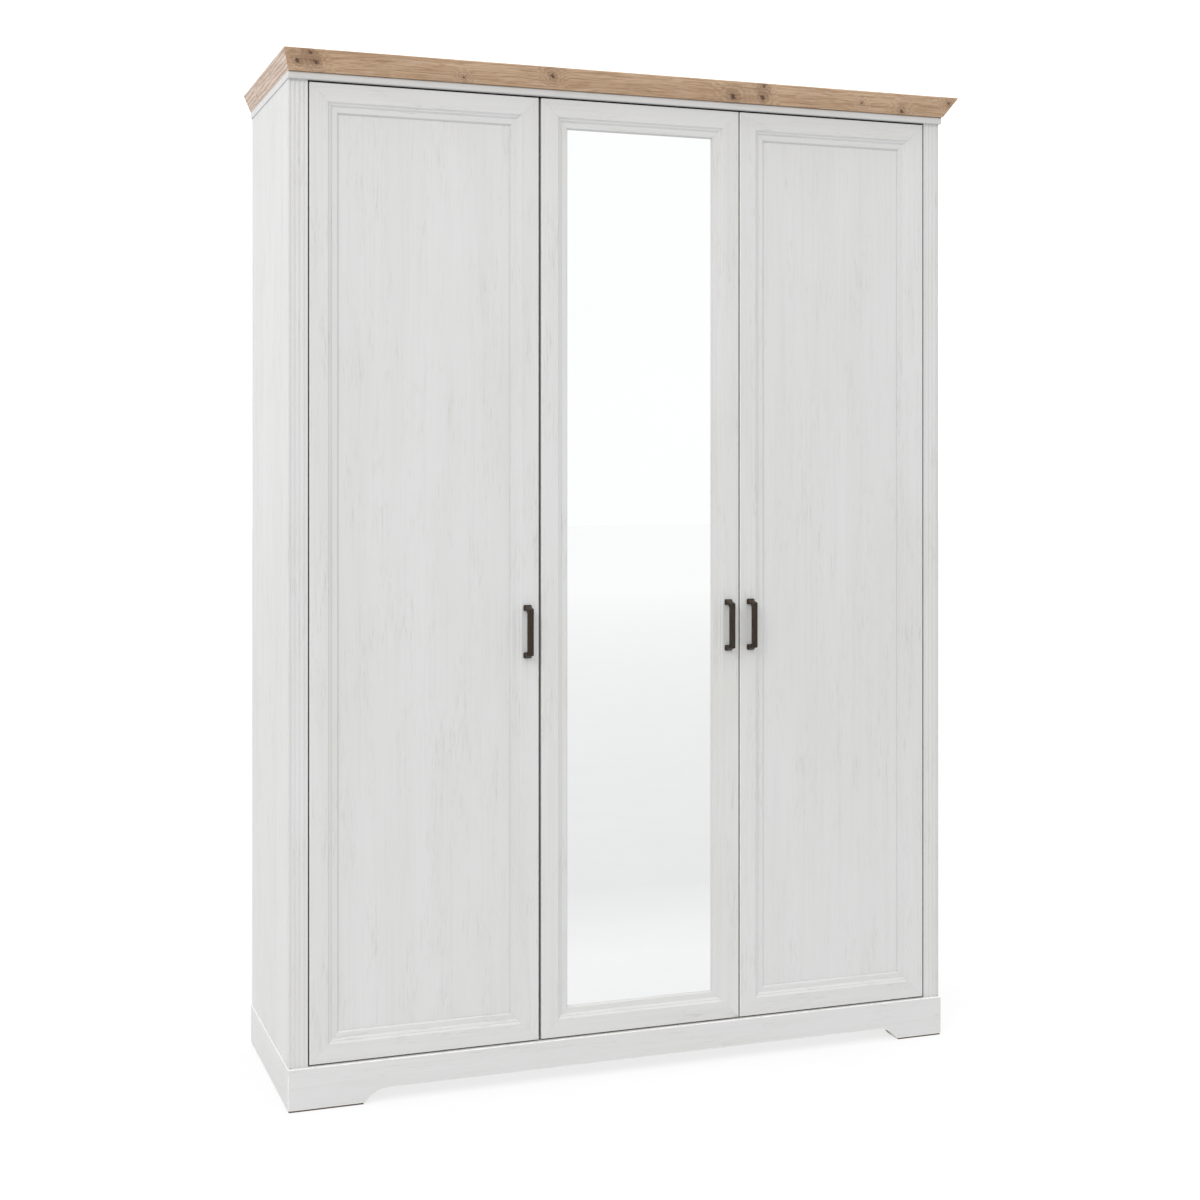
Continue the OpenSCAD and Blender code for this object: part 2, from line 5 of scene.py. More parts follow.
import bmesh
import bpy
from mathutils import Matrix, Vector


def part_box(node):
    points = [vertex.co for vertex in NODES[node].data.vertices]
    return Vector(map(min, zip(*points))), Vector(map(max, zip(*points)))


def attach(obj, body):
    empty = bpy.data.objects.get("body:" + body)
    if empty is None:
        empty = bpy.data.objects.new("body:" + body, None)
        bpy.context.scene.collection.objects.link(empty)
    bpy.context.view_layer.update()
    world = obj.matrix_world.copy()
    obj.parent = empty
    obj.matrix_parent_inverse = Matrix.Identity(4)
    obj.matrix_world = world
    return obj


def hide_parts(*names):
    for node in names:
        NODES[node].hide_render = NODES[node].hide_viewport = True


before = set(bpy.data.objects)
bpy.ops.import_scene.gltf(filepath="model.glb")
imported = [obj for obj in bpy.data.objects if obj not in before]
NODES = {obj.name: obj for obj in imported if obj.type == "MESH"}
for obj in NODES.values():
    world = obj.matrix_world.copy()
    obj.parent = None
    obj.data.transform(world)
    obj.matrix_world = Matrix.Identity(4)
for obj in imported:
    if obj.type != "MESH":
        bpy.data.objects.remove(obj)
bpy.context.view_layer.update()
MM = 0.001
CARCASS = "carcass"
DOORS = ("left", "middle", "right")
STUDIO_WHITE = 1.29      # brightness of the studio light on the wardrobe's front


# ---------------------------------------------------------------- shader helpers

class Shader:
    """A material under construction: a Principled shader and short calls that add nodes."""

    def __init__(self, name):
        self.material = bpy.data.materials.new(name)
        self.material.use_nodes = True
        self.tree = self.material.node_tree
        self.main = self.tree.nodes["Principled BSDF"]
        self.coords = self.add("TexCoord")

    def add(self, kind, inputs=None, **settings):
        node = self.tree.nodes.new("ShaderNode" + kind)
        for key, value in settings.items():
            setattr(node, key, value)
        for key, value in (inputs or {}).items():
            self.put(node.inputs[key], value)
        return node

    def put(self, socket, value):
        if isinstance(value, bpy.types.NodeSocket):
            self.tree.links.new(value, socket)
        else:
            socket.default_value = value

    def set(self, **inputs):
        for key, value in inputs.items():
            self.put(self.main.inputs[key.replace("_", " ")], value)

    def space(self, scale=(1, 1, 1), offset=(0, 0, 0)):
        """Object coordinates, scaled and then moved."""
        return self.add("Mapping", {0: self.coords.outputs["Object"], "Location": offset,
                                    "Scale": scale}).outputs[0]

    def noise(self, vector, detail=2.0, roughness=0.5, distortion=0.0):
        return self.add("TexNoise", {"Vector": vector, "Scale": 1.0, "Detail": detail,
                                     "Roughness": roughness, "Distortion": distortion}).outputs[0]

    def cells(self, vector):
        return self.add("TexVoronoi", {"Vector": vector, "Scale": 1.0})

    def level(self, value, low, high, to_low=0.0, to_high=1.0):
        """Maps low..high to to_low..to_high, clamped."""
        return self.add("MapRange", {0: value, 1: low, 2: high, 3: to_low, 4: to_high}).outputs[0]

    def math(self, operation, a, b=0.0):
        return self.add("Math", {0: a, 1: b}, operation=operation).outputs[0]

    def axis(self, vector, name):
        return self.add("SeparateXYZ", {0: vector}).outputs[name.upper()]

    def mix(self, factor, a, b):
        node = self.add("Mix", data_type="RGBA")
        for key, value in ((0, factor), (6, a), (7, b)):
            self.put(node.inputs[key], value)
        return node.outputs[2]

    def bump(self, height, depth, strength=1.0):
        node = self.add("Bump", {"Height": height, "Distance": depth, "Strength": strength})
        self.set(Normal=node.outputs[0])


def rgb(red, green, blue):
    """Colour of a surface that shows these 8-bit tones in full studio light."""
    def linear(value):
        value /= 255
        return value / 12.92 if value <= 0.04045 else ((value + 0.055) / 1.055) ** 2.4
    return (linear(red) / STUDIO_WHITE, linear(green) / STUDIO_WHITE, linear(blue) / STUDIO_WHITE, 1)


def stretched(grain, across, along):
    """Scale that draws a texture out along the grain axis."""
    return [along if axis == grain else across for axis in "xyz"]


# ---------------------------------------------------------------- materials

def pine(name, grain, seed, contrast=1.0):
    """White-washed pine decor: fine lengthwise lines, broken grey dashes and a few small knots."""
    s = Shader(name)
    offset = (seed * 1.7, seed * 2.3, seed * 3.1)

    def field(across, along, **settings):
        return s.noise(s.space(stretched(grain, across, along), offset), **settings)

    bands = field(16, 0.9, detail=4, roughness=0.6)
    drift = field(7, 2.6, detail=3)
    lines = field(150, 2.6, detail=4, roughness=0.7, distortion=0.2)
    dashes = field(380, 24, detail=4, roughness=0.72, distortion=0.5)
    where = field(30, 6, detail=3, roughness=0.6)
    pores = field(1300, 70, detail=3)
    cells = s.cells(s.space(stretched(grain, 5.2, 3.0), offset))
    near = cells.outputs["Distance"]
    chosen = s.level(s.axis(cells.outputs["Color"], "x"), 0.60, 0.64)
    heart = s.math("MULTIPLY", s.level(near, 0.030, 0.012), chosen)
    swirl = s.math("MULTIPLY", s.level(near, 0.12, 0.02), chosen)
    rings = s.level(s.math("SINE", s.math("MULTIPLY", near, 420)), 0.1, 0.9)
    dash = s.math("MULTIPLY", s.level(dashes, 0.52, 0.66), s.level(where, 0.45, 0.62))
    base = s.mix(s.level(bands, 0.34, 0.68, 0, 0.45 * contrast), rgb(223, 223, 223), rgb(213, 213, 212))
    base = s.mix(s.level(drift, 0.5, 0.72, 0, 0.35 * contrast), base, rgb(213, 212, 203))
    base = s.mix(s.level(lines, 0.48, 0.75, 0, 0.32 * contrast), base, rgb(202, 201, 194))
    base = s.mix(s.math("MULTIPLY", dash, 0.30 * contrast), base, rgb(160, 157, 146))
    base = s.mix(s.math("MULTIPLY", s.math("MULTIPLY", swirl, rings), 0.22), base, rgb(160, 155, 142))
    base = s.mix(s.math("MULTIPLY", heart, 0.6), base, rgb(140, 132, 118))
    s.set(Base_Color=base, Roughness=s.level(dash, 0, 1, 0.42, 0.6), Specular_IOR_Level=0.35)
    s.bump(s.math("SUBTRACT", s.math("MULTIPLY", pores, 0.35), dash), 0.00025, 0.5)
    return s.material


def knot_field(s, point, grain, knots):
    """Around each knot: a bulge that bends the grain, swirling lines, and a ragged dark heart."""
    ragged = s.math("SUBTRACT", s.noise(s.space((330, 330, 330)), detail=4, roughness=0.75), 0.5)
    bulge, heart, swirl = 0.0, 0.0, 0.0
    for place, height, radius in knots:
        dx = s.math("MULTIPLY", s.math("SUBTRACT", s.axis(point, grain), place), 0.62 / radius)
        dz = s.math("MULTIPLY", s.math("SUBTRACT", s.axis(point, "z"), height), 1 / radius)
        across = s.math("ADD", dz, s.math("MULTIPLY", dx, 0.5))
        squares = s.math("ADD", s.math("MULTIPLY", dx, dx), s.math("MULTIPLY", across, across))
        distance = s.math("SQRT", squares)
        distance = s.math("ADD", distance, s.math("MULTIPLY", ragged, 2.6))
        near = s.level(distance, 0.5, 4.2, 1, 0)
        bulge = s.math("ADD", bulge, near)
        ripple = s.math("SINE", s.math("MULTIPLY", distance, 6.5))
        swirl = s.math("ADD", swirl, s.math("MULTIPLY", near, ripple))
        heart = s.math("ADD", heart, s.level(distance, 0.75, 0.35, 0, 1))
    return bulge, heart, swirl


def oak(name, grain, knots, light, dark, base_z, depth=1.0, waviness=1.0):
    """Knotty oak decor with lengthwise grain that flows around the knots."""
    s = Shader(name)
    wobble = s.noise(s.space(stretched(grain, 60, 6)), detail=4, roughness=0.6)
    point = s.space()
    bulge, heart, swirl = knot_field(s, point, grain, knots)
    rise = s.math("SUBTRACT", s.axis(point, "z"), base_z)
    rings = s.math("ADD", s.math("MULTIPLY", rise, 150),
                   s.math("ADD", s.math("MULTIPLY", wobble, 5.0 * waviness), s.math("MULTIPLY", bulge, 2.6)))
    rings = s.math("SINE", s.math("MULTIPLY", rings, 2 * math.pi))
    fibre = s.noise(s.space(stretched(grain, 520, 14)), detail=5, roughness=0.72, distortion=0.4)
    flakes = s.noise(s.space(stretched(grain, 1300, 45)), detail=3)
    patches = s.noise(s.space(stretched(grain, 34, 5)), detail=4, roughness=0.65)
    pores = s.math("MULTIPLY", s.level(fibre, 0.55, 0.63), s.level(flakes, 0.45, 0.6))
    base = s.mix(s.level(patches, 0.38, 0.64), light, dark)
    base = s.mix(s.level(rings, 0.2, 0.95, 0, 0.32 * depth), base, rgb(140, 104, 72))
    base = s.mix(s.level(rings, -0.3, -0.95, 0, 0.3 * depth), base, rgb(228, 206, 184))
    base = s.mix(s.level(fibre, 0.47, 0.7, 0, 0.6), base, rgb(138, 104, 76))
    base = s.mix(s.math("MULTIPLY", pores, 0.45), base, rgb(112, 80, 54))
    base = s.mix(s.level(flakes, 0.55, 0.75, 0, 0.3), base, rgb(226, 204, 178))
    base = s.mix(s.level(swirl, 0.15, 0.8, 0, 0.5), base, rgb(116, 84, 60))
    base = s.mix(s.level(bulge, 0.75, 1.1, 0, 0.35), base, rgb(124, 88, 60))
    base = s.mix(s.math("MULTIPLY", heart, 0.85), base, rgb(80, 54, 38))
    s.set(Base_Color=base, Roughness=s.level(fibre, 0.3, 0.7, 0.42, 0.6), Specular_IOR_Level=0.35)
    s.bump(s.math("SUBTRACT", flakes, fibre), 0.0003, 0.6)
    return s.material


def antique_metal(name):
    """Nearly black brown metal with fine lengthwise brushing, rubbed to bronze on its edges, and with a
    painted highlight in paler, shinier bronze on the necks and the bar's front bevels.
    """
    s = Shader(name)
    rubbing_and_highlight = s.add("Attribute", attribute_name="wear_and_highlight").outputs["Fac"]
    brush = s.noise(s.space((1400, 1400, 60)), detail=3)
    spots = s.noise(s.space((260, 260, 260)), detail=4, roughness=0.7)
    rub_and_highlight = s.level(s.math("ADD", rubbing_and_highlight, s.math("MULTIPLY", s.math("SUBTRACT", spots, 0.5), 0.9)),
                  0.5, 1.05)
    base = s.mix(s.level(brush, 0.35, 0.65), rgb(40, 32, 26), rgb(70, 60, 50))
    base = s.mix(rub_and_highlight, base, rgb(150, 126, 106))
    s.set(Base_Color=base, Metallic=s.level(rub_and_highlight, 0, 1, 0.55, 0.8), Specular_IOR_Level=0.4,
          Roughness=s.level(spots, 0.3, 0.7, 0.42, 0.6))
    s.bump(s.math("ADD", brush, spots), 0.0002, 0.5)
    return s.material


def plated_metal(name, colour, roughness, grain="z"):
    """Nickel or chrome plating with faint polishing lines."""
    s = Shader(name)
    lines = s.noise(s.space(stretched(grain, 900, 40)), detail=3)
    clouds = s.noise(s.space((40, 40, 40)), detail=2)
    base = s.mix(s.level(clouds, 0.3, 0.7, 0, 0.35), colour, (0.42, 0.41, 0.39, 1))
    s.set(Base_Color=base, Metallic=1.0, Roughness=s.level(lines, 0.3, 0.7, roughness, roughness + 0.14))
    s.bump(lines, 0.00008, 0.4)
    return s.material


def mirror_silver(name):
    """Silvered glass with the faintest haze."""
    s = Shader(name)
    haze = s.noise(s.space((3, 3, 3)), detail=2)
    smears = s.noise(s.space((14, 14, 5)), detail=4)
    s.set(Base_Color=s.mix(s.level(haze, 0.3, 0.7), (0.872, 0.875, 0.875, 1), (0.860, 0.866, 0.867, 1)),
          Metallic=1.0, Roughness=s.level(smears, 0.35, 0.75, 0.0, 0.018))
    return s.material


def hardboard(name, bare_back=True):
    """Thin fibreboard, white-faced, and bare brown behind unless both sides are faced."""
    s = Shader(name)
    fibres = s.noise(s.space((420, 420, 420)), detail=5, roughness=0.7)
    mottle = s.noise(s.space((5, 5, 5)), detail=6, roughness=0.7)
    specks = s.noise(s.space((150, 150, 150)), detail=4, roughness=0.8)
    bare = s.mix(s.level(fibres, 0.3, 0.7), rgb(150, 116, 84), rgb(176, 142, 108))
    bare = s.mix(s.level(mottle, 0.35, 0.7, 0, 0.22), bare, rgb(136, 104, 74))
    bare = s.mix(s.level(specks, 0.55, 0.7, 0, 0.35), bare, rgb(112, 82, 56))
    faced = s.mix(s.level(mottle, 0.35, 0.7), rgb(224, 224, 222), rgb(219, 219, 216))
    behind = s.level(s.axis(s.coords.outputs["Normal"], "y"), 0.2, 0.6)
    s.set(Base_Color=s.mix(behind, faced, bare) if bare_back else faced,
          Roughness=s.level(fibres, 0.3, 0.7, 0.55, 0.8))
    s.bump(fibres, 0.0002, 0.5)
    return s.material


def raw_board(name):
    """Bare particle board."""
    s = Shader(name)
    chips = s.cells(s.space((260, 260, 420)))
    fibres = s.noise(s.space((500, 500, 500)), detail=4)
    base = s.mix(s.axis(chips.outputs["Color"], "x"), rgb(196, 178, 154), rgb(160, 138, 112))
    base = s.mix(s.level(fibres, 0.4, 0.7, 0, 0.4), base, rgb(120, 100, 80))
    s.set(Base_Color=base, Roughness=0.85)
    s.bump(fibres, 0.0004, 0.6)
    return s.material


def painted_highlight_edge(name):
    """The decor where it wraps a rounded edge, painted paler: a painted highlight along the edge."""
    s = Shader(name)
    rub_and_highlight = s.noise(s.space((90, 90, 90)), detail=4, roughness=0.65)
    nicks = s.noise(s.space((700, 700, 700)), detail=2)
    s.set(Base_Color=s.mix(s.level(rub_and_highlight, 0.35, 0.7), rgb(250, 249, 246), rgb(226, 225, 221)),
          Roughness=s.level(nicks, 0.3, 0.7, 0.35, 0.5), Specular_IOR_Level=0.4)
    s.bump(nicks, 0.0001, 0.3)
    return s.material


def plastic(name, colour, roughness=0.45, grain_size=900):
    """Moulded plastic with a fine eggshell texture."""
    s = Shader(name)
    grain = s.noise(s.space((grain_size,) * 3), detail=2)
    clouds = s.noise(s.space((30, 30, 30)), detail=2)
    darker = [c * 0.94 for c in colour[:3]] + [1]
    s.set(Base_Color=s.mix(s.level(clouds, 0.3, 0.7), colour, darker),
          Roughness=s.level(grain, 0.3, 0.7, roughness - 0.06, roughness + 0.08))
    s.bump(grain, 0.0001, 0.4)
    return s.material


NICKEL = plated_metal("nickel", (0.72, 0.70, 0.66, 1), 0.2)
CHROME = plated_metal("chrome", (0.82, 0.82, 0.83, 1), 0.06, "x")
ANTIQUE = antique_metal("antique_metal")
MIRROR = mirror_silver("mirror_silver")
HARDBOARD = hardboard("hardboard")
FACED_BOARD = hardboard("faced_board", bare_back=False)
RAW_BOARD = raw_board("raw_board")
WHITE_PLASTIC = plastic("white_plastic", rgb(232, 232, 230))
GLIDE_PLASTIC = plastic("glide_plastic", rgb(92, 80, 68), 0.6)
# Near-black felt: painted shade standing in for the shade in the gap above the doors
GAP_SHADE_FELT = plastic("gap_shade_felt", rgb(44, 36, 28), 0.95, 1600)
# Painted highlight for the rounded edges of the plinth and the door frames
EDGE_HIGHLIGHT = painted_highlight_edge("painted_highlight_edge")
BUMPER_RUBBER = plastic("bumper_rubber", rgb(206, 208, 208), 0.3, 500)


# ---------------------------------------------------------------- mesh helpers

def shade(obj, angle=32):
    """Smooth shading that stays sharp over edges steeper than the angle, in degrees."""
    obj.data.polygons.foreach_set("use_smooth", [True] * len(obj.data.polygons))
    obj.data.set_sharp_from_angle(angle=math.radians(angle))
    return obj


def soften(obj, width, segments=2, angle=30, weld=False, edge=None):
    """Rounds sharp edges, in a material of their own if one is given, and keeps large faces flat."""
    if weld:
        obj.modifiers.new("weld", "WELD").merge_threshold = 1e-5
        flat = obj.modifiers.new("flat", "DECIMATE")
        flat.decimate_type = "DISSOLVE"
        flat.angle_limit = math.radians(0.5)
    if width:
        bevel = obj.modifiers.new("edges", "BEVEL")
        bevel.width, bevel.segments = width, segments
        bevel.limit_method, bevel.angle_limit = "ANGLE", math.radians(angle)
        if edge:
            obj.data.materials.append(edge)
            bevel.material = len(obj.data.materials) - 1
    obj.modifiers.new("normals", "WEIGHTED_NORMAL").keep_sharp = True
    return obj


def add_piece(name, mesh, material, body, stands_for=()):
    """Makes a piece that rides on a body and, if it stands for CAD nodes, replaces them."""
    obj = bpy.data.objects.new(name, mesh)
    bpy.context.scene.collection.objects.link(obj)
    mesh.materials.append(material)
    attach(obj, body)
    if stands_for:
        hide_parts(*stands_for)
    return obj


def mesh_from(name, points, faces):
    """A mesh whose faces are lists of point numbers."""
    mesh = bpy.data.meshes.new(name)
    bm = bmesh.new()
    verts = [bm.verts.new(p) for p in points]
    for face in faces:
        bm.faces.new([verts[i] for i in face])
    bmesh.ops.recalc_face_normals(bm, faces=bm.faces)
    bm.to_mesh(mesh)
    bm.free()
    return mesh


def bar_mesh(name, outline, low_end, high_end, place):
    """A bar with a constant outline (u, v): each end's w is a function of u and v, so it can be mitred."""
    count = len(outline)
    points = [place(u, v, low_end(u, v)) for u, v in outline]
    points += [place(u, v, high_end(u, v)) for u, v in outline]
    faces = [[i, (i + 1) % count, count + (i + 1) % count, count + i] for i in range(count)]
    faces += [list(range(count)), list(range(2 * count - 1, count - 1, -1))]
    return mesh_from(name, points, faces)


def arc(centre, radius, start, end, steps):
    """Points on an arc, angles in degrees."""
    return [(centre[0] + radius * math.cos(math.radians(start + (end - start) * i / steps)),
             centre[1] + radius * math.sin(math.radians(start + (end - start) * i / steps)))
            for i in range(steps + 1)]


def bore(obj, centres, radius, depth):
    """Sinks round pockets along +Y from each centre, through the piece's back."""
    cutter_mesh = bpy.data.meshes.new("cutter")
    bm = bmesh.new()
    for x, y, z in centres:
        ring = bmesh.ops.create_cone(bm, segments=48, radius1=radius, radius2=radius, depth=depth,
                                     cap_ends=True)
        for vert in ring["verts"]:
            vert.co = Vector((x + vert.co.x, y + depth / 2 + vert.co.z, z + vert.co.y))
    bmesh.ops.recalc_face_normals(bm, faces=bm.faces)
    bm.to_mesh(cutter_mesh)
    bm.free()
    cutter = bpy.data.objects.new("cutter", cutter_mesh)
    bpy.context.scene.collection.objects.link(cutter)
    cut = obj.modifiers.new("bore", "BOOLEAN")
    cut.operation, cut.object, cut.solver = "DIFFERENCE", cutter, "EXACT"
    bpy.context.view_layer.update()
    done = bpy.data.meshes.new_from_object(obj.evaluated_get(bpy.context.evaluated_depsgraph_get()))
    obj.modifiers.clear()
    obj.data = done
    bpy.data.objects.remove(cutter)
    return obj


def dress(node, material, bevel=0.5 * MM, segments=2, edge=None):
    """Keeps a CAD node and gives it its material and slightly rounded edges."""
    obj = NODES[node]
    obj.data.materials.clear()
    obj.data.materials.append(material)
    obj.data.polygons.foreach_set("use_smooth", [True] * len(obj.data.polygons))
    return soften(obj, bevel, segments, weld=True, edge=edge)


# ---------------------------------------------------------------- doors

def door_facts(name):
    """Where a door's frame lies: hinge edge, direction to the handle edge, width, front, floor and top."""
    rail_low, rail_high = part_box(f"door_{name}_bottom_rail")
    low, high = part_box(f"door_{name}_hinge_stile")
    on_left = low.x - rail_low.x < MM
    return {"name": name, "edge": rail_low.x if on_left else rail_high.x, "to": 1 if on_left else -1,
            "width": rail_high.x - rail_low.x, "front": low.y, "thick": high.y - low.y,
            "low": low.z, "high": high.z, "frame_w": high.x - low.x}


ROUND_STEPS = 4          # facets on the rounded outer edge of a door frame
CUP_R = 17.5 * MM        # pocket for a hinge cup
CUP_POCKET = 20 * MM     # depth of the cut, which reaches past the frame's back
CUP_TO_END = 31 * MM     # from the axis of the last hinge cup to the end of its flange
HINGES = 4
SCREW_PITCH = 96 * MM    # between the feet of a handle


def frame_outline(frame_w, thick, groove_front, groove_back):
    """Cross-section of a door frame: u from the outer edge inwards, v back from the front face."""
    flat = 36 * MM
    edge_r = 1.3 * MM
    tongue = frame_w - 8 * MM
    slope_w, slope_d, land_w = 3.8 * MM, 3.0 * MM, 1.7 * MM
    last_w, lip, fall = 2.6 * MM, 1.0 * MM, 0.4 * MM
    land = flat + slope_w
    band = land + land_w + slope_w
    outline = arc((edge_r, edge_r), edge_r, 180, 270, ROUND_STEPS)
    outline += [(flat, 0), (land, slope_d), (land + land_w, slope_d), (band, 2 * slope_d)]
    outline += [(frame_w - last_w, 2 * slope_d + fall), (frame_w, groove_front - lip)]
    outline += [(frame_w, groove_front), (tongue, groove_front), (tongue, groove_back),
                (frame_w, groove_back), (frame_w, thick)]
    outline += arc((edge_r, thick - edge_r), edge_r, 90, 180, 3)
    return outline


def cup_pockets(piece, body):
    """Sinks a pocket for each hinge cup into a hinge stile."""
    low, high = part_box(f"{body}_hinge_cups")
    span = high.z - low.z - 2 * CUP_TO_END
    centres = [((low.x + high.x) / 2, low.y, low.z + CUP_TO_END + span * i / (HINGES - 1))
               for i in range(HINGES)]
    bore(piece, centres, CUP_R, CUP_POCKET)


def door_frame(door, groove_front, groove_back, seed):
    """Two stiles and two rails, mitred at the corners."""
    name, edge, to = door["name"], door["edge"], door["to"]
    outline = frame_outline(door["frame_w"], door["thick"], groove_front, groove_back)
    body = f"door_{name}"
    far = edge + to * door["width"]
    stiles = {
        "hinge_stile": lambda u, v, w: (edge + to * u, door["front"] + v, w),
        "handle_stile": lambda u, v, w: (far - to * u, door["front"] + v, w)}
    left, right = min(edge, far), max(edge, far)
    rails = {
        "top_rail": lambda u, v, w: (w, door["front"] + v, door["high"] - u),
        "bottom_rail": lambda u, v, w: (w, door["front"] + v, door["low"] + u)}
    for index, (part, place) in enumerate({**stiles, **rails}.items()):
        upright = part in stiles
        low, high = (door["low"], door["high"]) if upright else (left, right)
        mesh = bar_mesh(f"{body}_{part}_shape", outline, lambda u, v: low + u, lambda u, v: high - u, place)
        wood = pine(f"pine_{name}_{part}", "z" if upright else "x", seed + index, 1.0)
        piece = add_piece(f"{name}_{part}", mesh, wood, body, (f"{body}_{part}",))
        # The rounded outer front edge takes the painted highlight.
        mesh.materials.append(EDGE_HIGHLIGHT)
        for face in mesh.polygons[:ROUND_STEPS]:
            face.material_index = 1
        if part == "hinge_stile":
            cup_pockets(piece, body)
        soften(piece, 0.35 * MM, 2, 28)
        shade(piece)


CORNER_STEPS = 3                 # facets on each rounded corner of a handle's sections
RING = 4 * (CORNER_STEPS + 1)    # points in one section


def handle_ring(centre, face, y, z, width, height, round_r):
    """Rounded rectangle in a plane at depth y in front of the face."""
    half_w, half_h = width / 2 - round_r, height / 2 - round_r
    corners = ((half_w, half_h, 0), (-half_w, half_h, 90), (-half_w, -half_h, 180), (half_w, -half_h, 270))
    return [(centre.x + x, face - y, z + up) for across, high, start in corners
            for x, up in arc((across, high), round_r, start, start + 90, CORNER_STEPS)]


def handle_foot(middle_z, side):
    """Sections of a stepped foot and its neck: depth, height, width, length, corner radius and rubbing, which
    on the neck is partly a painted highlight.
    """
    foot_z = middle_z + side * SCREW_PITCH / 2
    foot_w, foot_l, neck_w, neck_l = 17 * MM, 12 * MM, 14.6 * MM, 9.8 * MM
    neck_y, neck_reach, neck_lean, corner_r = 3.8 * MM, 16.2 * MM, 5.2 * MM, 2 * MM
    stations = [(0, foot_z, foot_w, foot_l, 2.4 * MM, 0), (2.6 * MM, foot_z, foot_w, foot_l, 2.4 * MM, 0),
                (3.4 * MM, foot_z, foot_w - MM, foot_l - MM, 2.2 * MM, 0.5),
                (neck_y, foot_z, neck_w, neck_l, corner_r, 0)]
    for t in (0.1, 0.25, 0.4, 0.55, 0.7, 0.85, 1.0):
        waist = 1 - 0.16 * math.sin(math.pi * t)
        stations.append((neck_y + neck_reach * t, foot_z - side * neck_lean * t ** 1.4, neck_w * waist,
                         (neck_l - 0.4 * MM * t) * waist, corner_r, 0.55 if t < 0.8 else 0.2))
    return stations


def handle_bar(middle_z):
    """Sections of the flat bar, in the same form as those of a foot."""
    bar_l = 95 * MM
    # Each in millimetres: depth, width, how much shorter than the bar; then the rubbing, which on the front
    # bevels is partly a painted highlight
    rings = ((19.2, 11, 3, 0), (20, 13.2, 0, 0.3), (22.4, 13.2, 0, 0.35), (23.4, 11.6, 1.8, 0.6),
             (23.8, 8.6, 4.6, 0.05), (24, 4, 9, 0))
    return [(y * MM, middle_z, width * MM, bar_l - shorter * MM, 1.4 * MM, rub_and_highlight)
            for y, width, shorter, rub_and_highlight in rings]


def handle_mesh(name, centre, face):
    """Bow handle: two stepped feet whose necks lean in to a flat, bevelled bar."""
    points, faces, wear_and_highlight = [], [], []
    for stations in (handle_foot(centre.z, -1), handle_foot(centre.z, 1), handle_bar(centre.z)):
        first = len(points)
        for *section, rub_and_highlight in stations:
            points += handle_ring(centre, face, *section)
            wear_and_highlight += [rub_and_highlight] * RING
        for start in range(first, len(points) - RING, RING):
            for i in range(RING):
                a, b = start + i, start + (i + 1) % RING
                faces.append([a, b, b + RING, a + RING])
        faces.append([first + i for i in range(RING)])
        faces.append([len(points) - RING + i for i in reversed(range(RING))])
    mesh = mesh_from(name, points, faces)
    # Per-point rubbing and painted highlight, read by the antique metal
    attribute = mesh.attributes.new("wear_and_highlight", "FLOAT", "POINT")
    attribute.data.foreach_set("value", wear_and_highlight)
    return mesh


def door_handle(door):
    """Puts a bow handle in place of a door's CAD handle."""
    node = f"door_{door['name']}_handle"
    low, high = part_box(node)
    mesh = handle_mesh(node + "_shape", (low + high) / 2, high.y)
    piece = add_piece(f"{door['name']}_bow_handle", mesh, ANTIQUE, f"door_{door['name']}", (node,))
    return shade(piece, 40)


def mirror_sheet():
    """Mirror glass with ground edges; its front is one flat face."""
    low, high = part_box("mirror_glass")
    grind = 1.2 * MM

    def ring(y, inset):
        return [(low.x + inset, y, low.z + inset), (high.x - inset, y, low.z + inset),
                (high.x - inset, y, high.z - inset), (low.x + inset, y, high.z - inset)]

    points = ring(low.y, grind) + ring(low.y + grind, 0) + ring(high.y - grind, 0) + ring(high.y, grind)
    faces = [[0, 1, 2, 3], [12, 13, 14, 15]]
    faces += [[4 * row + i, 4 * row + (i + 1) % 4, 4 * row + 4 + (i + 1) % 4, 4 * row + 4 + i]
              for row in range(3) for i in range(4)]
    add_piece("mirror_sheet", mesh_from("mirror_sheet_shape", points, faces), MIRROR, "door_middle",
              ("mirror_glass",))


GROOVES = {"left": (10 * MM, 18 * MM), "middle": (12 * MM, 20 * MM), "right": (10 * MM, 18 * MM)}
for number, name in enumerate(DOORS):
    door = door_facts(name)
    door_frame(door, *GROOVES[name], seed=10 * number + 3)
    door_handle(door)
    dress(f"door_{name}_hinge_cups", NICKEL, 0.15 * MM)
    dress(f"door_{name}_hinge_links", NICKEL, 0.15 * MM)
    dress(f"door_{name}_handle_screws", NICKEL, 0.4 * MM)
dress("door_left_panel", pine("pine_left_panel", "z", 41, 0.8))
dress("door_right_panel", pine("pine_right_panel", "z", 57, 0.8))
dress("door_middle_backing", FACED_BOARD)
mirror_sheet()


# ---------------------------------------------------------------- carcass

